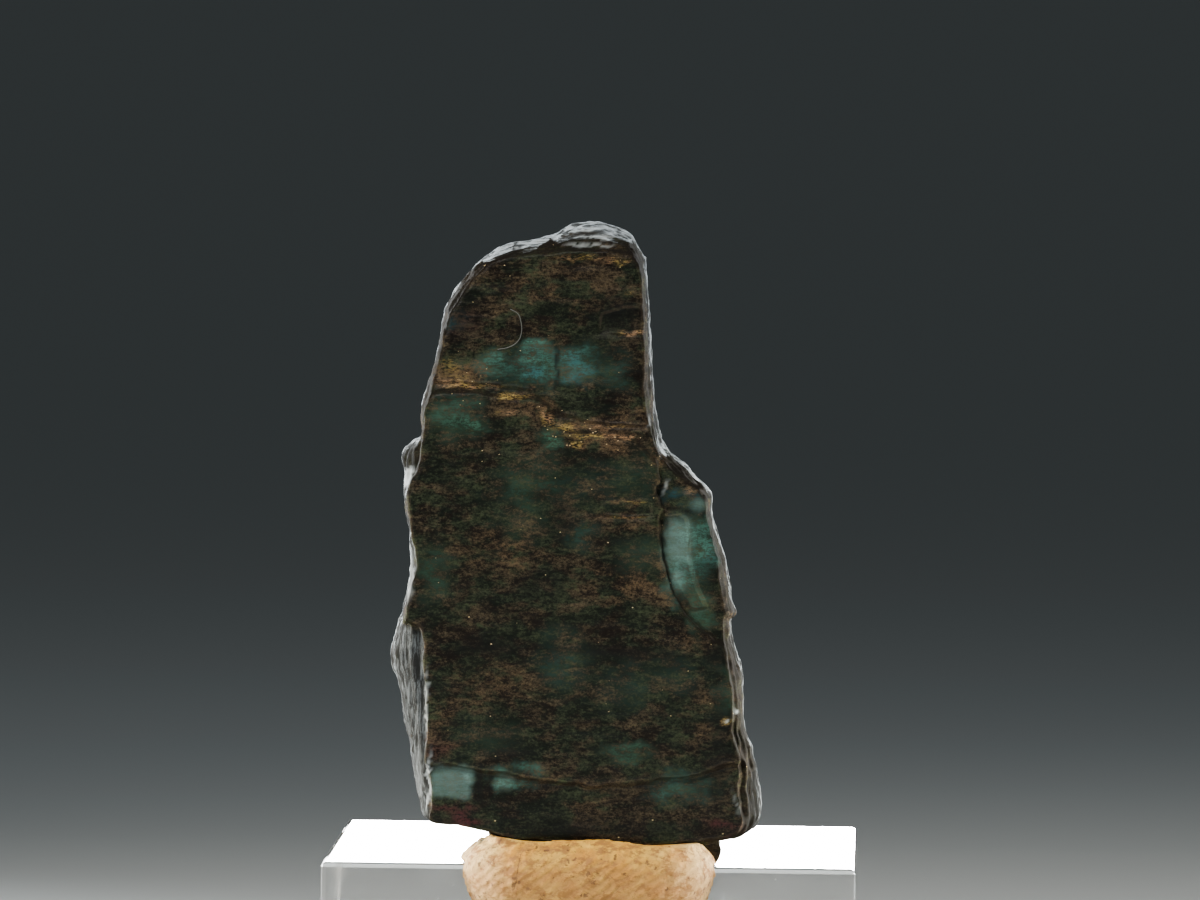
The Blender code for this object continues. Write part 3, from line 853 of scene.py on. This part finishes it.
# %% Vivianite: how far the rim reaches
THIN_RIM_DEPTH = 3.0
ZONE_REACH = 2.5
RAGGED_REACH = 4.0
leaf = noise_of(tree, stretched(tree, place, (0.35, 3.4, 0.35)), detail=5.0, roughness=0.65)
ragged_depth = math_of(tree, "ADD", depth, times(tree, math_of(tree, "SUBTRACT", leaf, 0.5), RAGGED_REACH))
rim_start = math_of(tree, "SUBTRACT", THIN_RIM_DEPTH, times(tree, painted(tree, "rim_zone"), ZONE_REACH))
deeper = ramp_of(tree, math_of(tree, "SUBTRACT", ragged_depth, rim_start), 0.0, 0.6)
nearer = ramp_of(tree, place_y, BACK_FACE - 0.7, BACK_FACE - 0.3, 1.0, 0.0)
side = ramp_of(tree, facing, 0.60, 0.88, 1.0, 0.0)
book = times(tree, painted(tree, "book"), ramp_of(tree, depth, 0.25, 0.5))
rim = highest(tree, times(tree, side, deeper, nearer), book)
print(f"The rim starts {THIN_RIM_DEPTH - ZONE_REACH:.1f} to {THIN_RIM_DEPTH:.1f} mm behind the front face")

# %% [markdown]
# The bronze film is patchy at every size: clouds a few millimetres wide, short level dashes along the
# cleavage, and grain. Three noises are weighted and added up, and one soft step turns the sum into a film
# that is there or not. A fourth noise leans it to brown or to green. Thin light patches over a nearly black
# ground look more like the real film than a mid brown would.

# %% Vivianite: the film
BROWN_GROUND, GREEN_GROUND = rgb(0.0042, 0.0026, 0.0018), rgb(0.0022, 0.0040, 0.0024)
BROWN_FILM, GREEN_FILM = rgb(0.084, 0.064, 0.034), rgb(0.036, 0.050, 0.022)
BRONZE_FILM = rgb(0.130, 0.080, 0.038)
mottle = noise_of(tree, stretched(tree, place, (0.34, 0.34, 0.60)), detail=5.0, roughness=0.65)
dashes = noise_of(tree, stretched(tree, place, (1.5, 1.5, 4.2)), detail=4.0, roughness=0.75)
grain = noise_of(tree, stretched(tree, place, (5.0, 5.0, 7.0)), detail=4.0, roughness=0.9)
bronze = painted(tree, "bronze")
film_value = weighted_sum(tree, (mottle, 0.34), (dashes, 0.36), (grain, 0.62), (bronze, 0.05))
film = ramp_of(tree, film_value, 0.61, 0.83)
lean = noise_of(tree, stretched(tree, place, (0.5, 0.5, 0.9)), detail=5.0, roughness=0.65)
greenish = ramp_of(tree, math_of(tree, "SUBTRACT", lean, times(tree, bronze, 0.06)), 0.42, 0.56)
film_dark = mixed(tree, greenish, BROWN_GROUND, GREEN_GROUND)
film_light = mixed(tree, greenish, mixed(tree, bronze, BROWN_FILM, BRONZE_FILM), GREEN_FILM)
colour = mixed(tree, film, film_dark, film_light)
print("Nodes with the film:", len(tree.nodes))

# %% [markdown]
# Windows are the places where the film is thin. Real light through a crystal of this depth would need many
# bounces and much noise in the render, so a window is painted light instead: a lighter, saturated colour, and
# only a little true transmission is added at the end. The film's own grain breaks each window up, less so on
# the pale ones, which are clean breaks. Red stains, dark cracks and painted shade then go on top.

# %% Vivianite: windows, stains, cracks and painted shade
# Window tints: the crystal's own green and blue with painted light from behind in them.
WINDOW_LIGHT_TINTS = {
    "teal": rgb(0.080, 0.240, 0.195),
    "green": rgb(0.080, 0.225, 0.155),
    "blue": rgb(0.030, 0.150, 0.185),
    "pale": rgb(0.215, 0.400, 0.375),
}
THICKEST_FILM = 0.08
RED_STAIN = rgb(0.066, 0.011, 0.017)
CRACK_AND_SHADE_BLACK = rgb(0.0025, 0.0025, 0.0025)
thin = ramp_of(tree, weighted_sum(tree, (grain, 0.5), (dashes, 0.5)), 0.41, 0.59, 1.0, THICKEST_FILM)
veil = ramp_of(tree, thin, THICKEST_FILM, 1.0, 0.62, 1.0)
for name, tint in WINDOW_LIGHT_TINTS.items():
    cover = veil if name == "pale" else thin
    shine = math_of(tree, "POWER", painted(tree, name), 1.3)
    colour = mixed(tree, times(tree, shine, cover, front), colour, tint)
stain = times(tree, painted(tree, "red"), ramp_of(tree, film_value, 0.58, 0.72), front)
colour = mixed(tree, stain, colour, RED_STAIN)
# Cracks and painted shade: the shadow blots darken the front towards near black.
colour = mixed(tree, times(tree, painted(tree, "shadow"), front, 0.85), colour, CRACK_AND_SHADE_BLACK)
print("Nodes with", len(WINDOW_LIGHT_TINTS), "kinds of window:", len(tree.nodes))

# %% [markdown]
# The ledges' steps are worn round on the real crystal, so they shade much like the faces beside them. The net
# has them sharper, and a sharp step catches the back lights as a bright cord. So the steps get painted shade,
# a darker brown, and the normal is bent back to the front on them, except on walls that turn far to the side.
# The sides that don't face up, which would be black, get painted light: their colour is lifted. The other
# walls get painted shade, because they lie in a corner.

# %% Vivianite: worn ledges, with painted shade and painted light
LEDGE_SHADE_BROWN = rgb(0.014, 0.009, 0.005)
CORNER_SHADE_DARK = rgb(0.008, 0.007, 0.006)
LIGHT_LIFT_TIMES, LIGHT_LIFT_ADDED = (2.2, 2.2, 2.2), (0.010, 0.008, 0.006)
ledge = times(tree, ramp_of(tree, facing, 0.90, 0.985, 1.0, 0.0), one_minus(tree, rim))
covered = one_minus(tree, highest(tree, painted(tree, "pale"), painted(tree, "teal")))
# Painted shade: the steps are darkened towards brown.
colour = mixed(tree, times(tree, ledge, covered, 0.35), colour, LEDGE_SHADE_BROWN)
shaded = times(tree, ledge, ramp_of(tree, normal_z, -0.10, 0.25, 1.0, 0.0), covered)
# Painted light: the sides that don't face up are lifted.
light_lifted = add(tree, "ShaderNodeVectorMath", {0: colour, 1: LIGHT_LIFT_TIMES}, operation="MULTIPLY")
light_lifted = add(tree, "ShaderNodeVectorMath", {0: light_lifted, 1: LIGHT_LIFT_ADDED}, operation="ADD")
colour = mixed(tree, shaded, colour, light_lifted)
# Painted shade on the walls that lie in corners.
wall = times(tree, side, one_minus(tree, rim), one_minus(tree, shaded))
colour = mixed(tree, times(tree, wall, 0.6), colour, CORNER_SHADE_DARK)
outward = add(tree, "ShaderNodeCombineXYZ", {"Y": math_of(tree, "SIGN", normal_y)})
bend = times(tree, ledge, ramp_of(tree, math_of(tree, "ABSOLUTE", normal_x), 0.5, 0.8, 0.85, 0.0))
worn = add(tree, "ShaderNodeMix", {0: bend, 4: plain_normal, 5: outward}, output=1, data_type="VECTOR")
worn = add(tree, "ShaderNodeVectorMath", {0: worn}, operation="NORMALIZE")
print("Nodes with the ledges:", len(tree.nodes))

# %% [markdown]
# Along the ledges the film is thick enough to gleam. Gold is broken into short level dashes by one more
# drawn-out noise, and sparks, which are tiny chips that face the light, are the shared specks. A bright
# colour stands in for the gleam: a metallic shader would turn black from every side where it mirrors the
# dark surroundings.

# %% Vivianite: gold dashes and sparks
# Painted highlights: copper and gold glints along the ledges, and pale sparks.
COPPER_GLINT, GOLD_GLINT, SPARK_GLINT = rgb(0.46, 0.27, 0.14), rgb(0.50, 0.36, 0.10), rgb(0.80, 0.66, 0.40)
gold_dashes = noise_of(tree, stretched(tree, place, (3.6, 3.6, 11.0)), detail=4.0, roughness=0.8)
gold = times(tree, painted(tree, "gold"), front, ramp_of(tree, gold_dashes, 0.44, 0.60))
spark_amount = math_of(tree, "ADD", 0.004, times(tree, painted(tree, "sparks"), 0.16))
spark = use_group(tree, specks, {"Position": place, "Per Mm": (6.0, 6.0, 9.0), "Amount": spark_amount,
                                 "Size": 0.42})
spark = times(tree, spark, one_minus(tree, rim))
glint = highest(tree, gold, times(tree, spark, 0.8))
glint_hue = noise_of(tree, stretched(tree, place, (0.8, 0.8, 0.8)), detail=1.0)
glint_tint = mixed(tree, ramp_of(tree, glint_hue, 0.4, 0.6), COPPER_GLINT, GOLD_GLINT)
colour = mixed(tree, glint, colour, glint_tint)
colour = mixed(tree, times(tree, spark, 0.5), colour, SPARK_GLINT)
print("Nodes with gold and sparks:", len(tree.nodes))

# %% [markdown]
# The rim is drawn in tones between a dark and a silvery leaf, and its bright tones are painted highlights for
# the back light that catches the leaves. Its leaves come from the same noise that made it ragged. Where it is
# seen quite edge-on, its crest gets a painted bright outline, parts that face up get painted bright terraces,
# and the front edge of a broad zone gets a painted highlight line. Chips break all of these up. The book edge
# is the side where the leaves stand on end like the pages of a book, with fine upright lines.

# %% Vivianite: the rim's leaves and their painted highlights
DARK_LEAF, SILVER_LEAF_HIGHLIGHT, WHITE_BREAK_HIGHLIGHT = rgb(0.009, 0.010, 0.010), rgb(0.47, 0.55, 0.61), rgb(0.60, 0.68, 0.72)
edge_on = ramp_of(tree, facing, 0.15, 0.45, 1.0, 0.0)
crest = ramp_of(tree, facing, 0.08, 0.26, 1.0, 0.0)
upward = ramp_of(tree, normal_z, 0.3, 0.6)
chip = noise_of(tree, stretched(tree, place, (1.1, 1.4, 1.1)), detail=4.0, roughness=0.65)
leaves = times(tree, ramp_of(tree, leaf, 0.51, 0.59), ramp_of(tree, chip, 0.42, 0.60, 0.1, 1.0))
fine_leaf = noise_of(tree, stretched(tree, place, (0.6, 6.5, 0.6)), detail=4.0, roughness=0.7)
outline = times(tree, crest, ramp_of(tree, ragged_depth, 2.7, 3.7, 0.0, 0.85),
                ramp_of(tree, fine_leaf, 0.38, 0.56, 0.08, 1.0))
steps = noise_of(tree, stretched(tree, place, (0.4, 1.4, 2.4)), detail=4.0, roughness=0.65)
terraces = times(tree, upward, ramp_of(tree, steps, 0.44, 0.56, 0.06, 1.0),
                 ramp_of(tree, ragged_depth, 0.7, 1.5))
outline = times(tree, highest(tree, outline, terraces), ramp_of(tree, chip, 0.36, 0.48, 0.45, 1.0))
face_edge = times(tree, ramp_of(tree, depth, 0.85, 1.05, 0.75, 0.0), painted(tree, "rim_zone"),
                  ramp_of(tree, chip, 0.45, 0.55, 0.2, 1.0))
rim_tone = highest(tree, leaves, outline, face_edge)
# Painted light: the rim is brighter where it is seen edge-on or faces up.
rim_tone = times(tree, rim_tone, highest(tree, edge_on, upward, 0.12))
print("Nodes with the rim's leaves:", len(tree.nodes))

# %% Vivianite: the book edge and the rim's colour
book_lines = noise_of(tree, stretched(tree, place, (6.5, 6.5, 0.55)), detail=4.0, roughness=0.8)
book_tone = ramp_of(tree, book_lines, 0.45, 0.66, 0.008, 0.25)
rim_tone = between(tree, book, rim_tone, book_tone)
# Painted shade: the dark facets turn the rim's tone down.
rim_tone = times(tree, rim_tone, one_minus(tree, painted(tree, "dark")))
# The rim's tone runs from the dark leaf to the silver of painted highlights.
colour = mixed(tree, rim, colour, mixed(tree, rim_tone, DARK_LEAF, SILVER_LEAF_HIGHLIGHT))
# Painted highlights: white on a few small breaks.
white_highlight = times(tree, painted(tree, "white_highlight"), ramp_of(tree, depth, 4.5, 5.0, 1.0, 0.0))
colour = mixed(tree, white_highlight, colour, WHITE_BREAK_HIGHLIGHT)
print("Nodes for the crystal's colour:", len(tree.nodes))

# %% [markdown]
# Last come gloss and fine relief. The film is duller where it is thick, ledges are dull and the rim's bright
# leaves are smoother than its dark ones. Lines too fine for the net are a bump: level on the faces, round the
# rim on the rim. The crystal's own values are set on the shader itself: a high index of refraction, a weak
# mirror, and a little transmission, because it is clear only where it is thin.

# %% Vivianite: gloss, fine relief and the finished crystal
BUMP_HEIGHT = 0.05 * MM
face_roughness = ramp_of(tree, film_value, 0.54, 0.84, 0.34, 0.60)
face_roughness = highest(tree, face_roughness, times(tree, ledge, 0.9))
rim_roughness = ramp_of(tree, rim_tone, 0.0, 1.0, 0.95, 0.38)
face_lines = noise_of(tree, stretched(tree, place, (0.8, 0.8, 7.0)), detail=3.0, roughness=0.7)
rim_lines = noise_of(tree, stretched(tree, place, (0.5, 7.0, 0.5)), detail=3.0, roughness=0.7)
height = math_of(tree, "ADD", between(tree, rim, face_lines, rim_lines), times(tree, grain, 0.35))
bump = add(tree, "ShaderNodeBump", {
    "Height": height, "Strength": 0.5, "Distance": BUMP_HEIGHT, "Normal": worn,
})
feed(tree, shader.inputs["Base Color"], colour)
feed(tree, shader.inputs["Roughness"], between(tree, rim, face_roughness, rim_roughness))
feed(tree, shader.inputs["Normal"], bump)
shader.inputs["IOR"].default_value = 1.6
shader.inputs["Specular IOR Level"].default_value = 0.1
shader.inputs["Transmission Weight"].default_value = 0.15
finish(crystal, vivianite, "vivianite", "crystal")

# %% [markdown]
# ### Lint
#
# The fibre is so thin that one dull grey is enough. It is darker than real lint, so that it stays as faint
# in front of the dark film as the real one is.

# %% Lint material
lint, tree, shader = new_material("lint")
shader.inputs["Base Color"].default_value = rgb(0.12, 0.13, 0.12)
shader.inputs["Roughness"].default_value = 0.8
finish(fibre, lint, "vivianite")

# %% [markdown]
# ### Putty
#
# Putty of this kind is tan, matt and a little waxy. Towards its sides it gets painted light, a paler tan for
# the light that reaches its ends. It has brown grit pressed into it, and carries the faint parallel ridges of
# the finger that pressed it. The ground colour comes first: two tans that a cloudy noise blends, the paler
# painted light away from the middle, browner low down, and slanting smears.

# %% Putty: the tans
DEEP_TAN, LIGHT_TAN, SIDE_LIGHT_TAN = rgb(0.70, 0.32, 0.026), rgb(0.96, 0.58, 0.060), rgb(1.0, 0.74, 0.32)
LOW_BROWN, SMEAR_BROWN, POCK_BROWN = rgb(0.50, 0.24, 0.085), rgb(0.38, 0.17, 0.035), rgb(0.34, 0.13, 0.03)
tan_putty, tree, shader = new_material("tan_putty")
place = place_in_mm(tree)
place_x, _, place_z = parts_of(tree, place)
cloud = noise_of(tree, stretched(tree, place, (0.5, 0.5, 0.7)), detail=4.0, roughness=0.6)
fine = noise_of(tree, stretched(tree, place, (3.0, 3.0, 3.0)), detail=4.0, roughness=0.7)
smear_place = add(tree, "ShaderNodeMapping", {
    "Vector": place, "Rotation": (0.0, -0.7, 0.0), "Scale": (0.8, 1.1, 1.5),
})
smear = noise_of(tree, smear_place, detail=5.0, roughness=0.75)
colour = mixed(tree, ramp_of(tree, cloud, 0.38, 0.62), DEEP_TAN, LIGHT_TAN)
# Painted light: paler tan towards the sides.
outer = math_of(tree, "ADD", math_of(tree, "ABSOLUTE", place_x), times(tree, cloud, 4.0))
colour = mixed(tree, ramp_of(tree, outer, 5.6, 9.4), colour, SIDE_LIGHT_TAN)
low = math_of(tree, "SUBTRACT", place_z, times(tree, cloud, 2.4))
colour = mixed(tree, ramp_of(tree, low, -2.2, 0.4, 0.60, 0.0), colour, LOW_BROWN)
colour = mixed(tree, ramp_of(tree, smear, 0.48, 0.60, 0.0, 0.90), colour, SMEAR_BROWN)
colour = mixed(tree, ramp_of(tree, fine, 0.50, 0.68, 0.0, 0.55), colour, POCK_BROWN)
print("Putty ground colour:", len(tree.nodes), "nodes")

# %% [markdown]
# Grit is the shared specks, but a speck is round, so the place that it reads is first pushed about by a
# coloured noise, which makes each grain irregular. A second, softer noise adds dirt. One crack runs up the
# putty left of its middle: it is the strip where a slanted and wavy x comes near one value.

# %% Putty: grit, dirt and the crack
GRIT_BROWN, CRACK_BROWN = rgb(0.09, 0.035, 0.015), rgb(0.10, 0.04, 0.01)
CRACK_X = -3.8
CRACK_Z = -0.2
CRACK_SLANT = -0.18


def strayed_in(tree, position):
    """A place pushed about a little, so that specks aren't round."""
    stray = add(tree, "ShaderNodeTexNoise", {"Vector": position, "Scale": 3.0, "Detail": 3.0}, output="Color")
    stray = add(tree, "ShaderNodeVectorMath", {0: stray, 1: (0.5, 0.5, 0.5)}, operation="SUBTRACT")
    stray = add(tree, "ShaderNodeVectorMath", {0: stray, 1: (0.6, 0.6, 0.6)}, operation="MULTIPLY")
    return add(tree, "ShaderNodeVectorMath", {0: position, 1: stray}, operation="ADD")


grit = use_group(tree, specks, {"Position": strayed_in(tree, place), "Per Mm": (2.5, 2.5, 2.5),
                                "Amount": 0.34, "Size": 0.40})
dirt_noise = noise_of(tree, stretched(tree, place, (1.6, 1.6, 1.6)), detail=5.0, roughness=0.8)
dirty = highest(tree, grit, ramp_of(tree, dirt_noise, 0.58, 0.66))
colour = mixed(tree, times(tree, dirty, 0.75), colour, GRIT_BROWN)
crack_x = math_of(tree, "ADD", place_x, times(tree, place_z, CRACK_SLANT))
crack_x = math_of(tree, "ADD", crack_x, times(tree, fine, 0.5))
from_crack = math_of(tree, "ABSOLUTE", math_of(tree, "SUBTRACT", crack_x, CRACK_X))
above_crack = math_of(tree, "ABSOLUTE", math_of(tree, "SUBTRACT", place_z, CRACK_Z))
crack = times(tree, ramp_of(tree, from_crack, 0.02, 0.06, 1.0, 0.0),
              ramp_of(tree, above_crack, 0.9, 1.3, 1.0, 0.0))
colour = mixed(tree, times(tree, crack, 0.7), colour, CRACK_BROWN)
print(f"Crack at x {CRACK_X} mm, z {CRACK_Z} mm")

# %% [markdown]
# The finger's ridges are a wave texture, bent by its own distortion as skin ridges are, and they fade out
# towards the putty's top, which no finger touched. They show a little as colour, darker in their valleys, and
# more as a bump.

# %% Putty: pressed ridges and the finished lump
VALLEY_BROWN = rgb(0.36, 0.17, 0.06)
RIDGE_HEIGHT = 0.12 * MM
ridge_place = add(tree, "ShaderNodeMapping", {"Vector": place, "Rotation": (0.0, -0.9, 0.0)})
wave = add(tree, "ShaderNodeTexWave", {
    "Vector": ridge_place, "Scale": 0.55, "Distortion": 7.0, "Detail": 3.0, "Detail Scale": 0.7,
}, output="Fac", bands_direction="X")
pressed = ramp_of(tree, low, -1.2, 1.2, 1.0, 0.15)
valleys = times(tree, ramp_of(tree, wave, 0.25, 0.75, 1.0, 0.0), pressed)
colour = mixed(tree, times(tree, valleys, 0.26), colour, VALLEY_BROWN)
height = math_of(tree, "ADD", times(tree, wave, pressed, 0.35), fine)
bump = add(tree, "ShaderNodeBump", {"Height": height, "Strength": 0.9, "Distance": RIDGE_HEIGHT})
feed(tree, shader.inputs["Base Color"], colour)
feed(tree, shader.inputs["Normal"], bump)
shader.inputs["Roughness"].default_value = 0.75
finish(putty, tan_putty, "putty", "putty")

# %% [markdown]
# ### Clear acrylic
#
# The block keeps its solid: a cube with small polished edges is already its real shape. Its looks are all in
# the light that passes through it, so the material is plain clear plastic whose faces are dulled by
# smudges, and carry hairline scratches, drawn out level, and dust.

# %% Clear acrylic material
SCRATCH_DEPTH = 0.02 * MM
acrylic, tree, shader = new_material("clear_acrylic")
place = place_in_mm(tree)
smudge = ramp_of(tree, noise_of(tree, stretched(tree, place, (0.18, 0.18, 0.25)), detail=4.0), 0.45, 0.7)
scratch = noise_of(tree, stretched(tree, place, (0.15, 0.15, 6.0)), detail=2.0, roughness=0.6)
scratch = ramp_of(tree, scratch, 0.375, 0.625)
dust = use_group(tree, specks, {"Position": place, "Per Mm": (1.8, 1.8, 1.8), "Amount": 0.12, "Size": 0.16})
roughness = highest(tree, ramp_of(tree, smudge, 0.0, 1.0, 0.02, 0.16), times(tree, dust, 0.9))
height = weighted_sum(tree, (scratch, 0.08), (dust, 0.8))
bump = add(tree, "ShaderNodeBump", {"Height": height, "Strength": 1.0, "Distance": SCRATCH_DEPTH})
feed(tree, shader.inputs["Roughness"], roughness)
feed(tree, shader.inputs["Normal"], bump)
shader.inputs["Base Color"].default_value = rgb(0.97, 0.985, 0.985)
shader.inputs["IOR"].default_value = 1.49
shader.inputs["Transmission Weight"].default_value = 0.93
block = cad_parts["display_block"]
block.data.materials.clear()
block.data.materials.append(acrylic)
print("The block keeps its", len(block.data.polygons), "faces and is clear")

# %% [markdown]
# ## Stage and light
#
# The floor is one plain pale sheet that runs far behind the block, so it fills the whole picture, and it
# falls off into shade because every light hangs near the object.
#
# A dark crystal shows mainly by its rim, and that is lit from behind: one wide lamp high behind it, and one
# at each side. A low card far behind is mirrored in the block's level top, which makes it a bright strip.
# A warm lamp in front shows the putty, and two small warm cards beside it brighten its ends. All of them are
# soft rectangles, because a hard lamp would put a spot on every leaf. The narrow spread of some keeps
# their light off the crystal's dark face.

# %% Floor
FLOOR_SIZE = 300.0
FLOOR_GAP = 0.05 * MM
bpy.ops.object.select_all(action="DESELECT")
bpy.ops.mesh.primitive_plane_add(size=FLOOR_SIZE, location=(0.0, 0.0, -FLOOR_GAP))
floor = bpy.context.object
floor.name = "floor"
floor_paint, tree, shader = new_material("floor_paint")
shader.inputs["Base Color"].default_value = rgb(0.62, 0.66, 0.66)
shader.inputs["Roughness"].default_value = 0.9
floor.data.materials.append(floor_paint)
print(f"Floor {FLOOR_GAP / MM} mm below the block")

# %% Lights


def soft_light(name, place_mm, aim_mm, size_mm, watts, colour, spread=180.0):
    """A soft rectangular light, placed and aimed in millimetres from the block's front top edge."""
    place, aim = on_block(*place_mm), on_block(*aim_mm)
    bpy.ops.object.light_add(type="AREA", location=place, rotation=turned_to(place, aim).to_euler())
    light = bpy.context.object
    light.name = name
    light.data.shape = "RECTANGLE"
    light.data.size, light.data.size_y = (side * MM for side in size_mm)
    light.data.energy = watts
    light.data.color = colour
    light.data.spread = math.radians(spread)
    light.visible_camera = False


soft_light("back_top", (0, 130, 260), (0, 120, 0), (240, 100), 0.115, (0.93, 0.97, 1.0))
soft_light("back_left", (-120, 130, 70), (0, 0, 30), (70, 130), 0.12, (0.94, 0.98, 1.0), spread=60)
soft_light("back_right", (140, 140, 70), (0, 0, 30), (50, 130), 0.08, (0.94, 0.98, 1.0), spread=60)
soft_light("low_card", (0, 300, 23), (0, 0, 14), (420, 24), 0.05, (1.0, 1.0, 1.0), spread=20)
soft_light("front_key", (-110, -200, 260), (0, -4, 4), (110, 110), 0.11, (1.0, 0.93, 0.84), spread=40)
soft_light("left_card", (-120, 24, 4), (0, 6, 0), (40, 24), 0.030, (1.0, 0.90, 0.74), spread=40)
soft_light("right_card", (120, 24, 4), (0, 6, 0), (40, 24), 0.030, (1.0, 0.90, 0.74), spread=40)

# %% [markdown]
# What no lamp reaches gets a weak, slightly cool light from all round.

# %% Surroundings
world = bpy.data.worlds.new("studio")
bpy.context.scene.world = world
world.use_nodes = True
background = world.node_tree.nodes["Background"]
background.inputs["Color"].default_value = rgb(0.60, 0.66, 0.68)
background.inputs["Strength"].default_value = 0.08
print("Surroundings:", world.name)
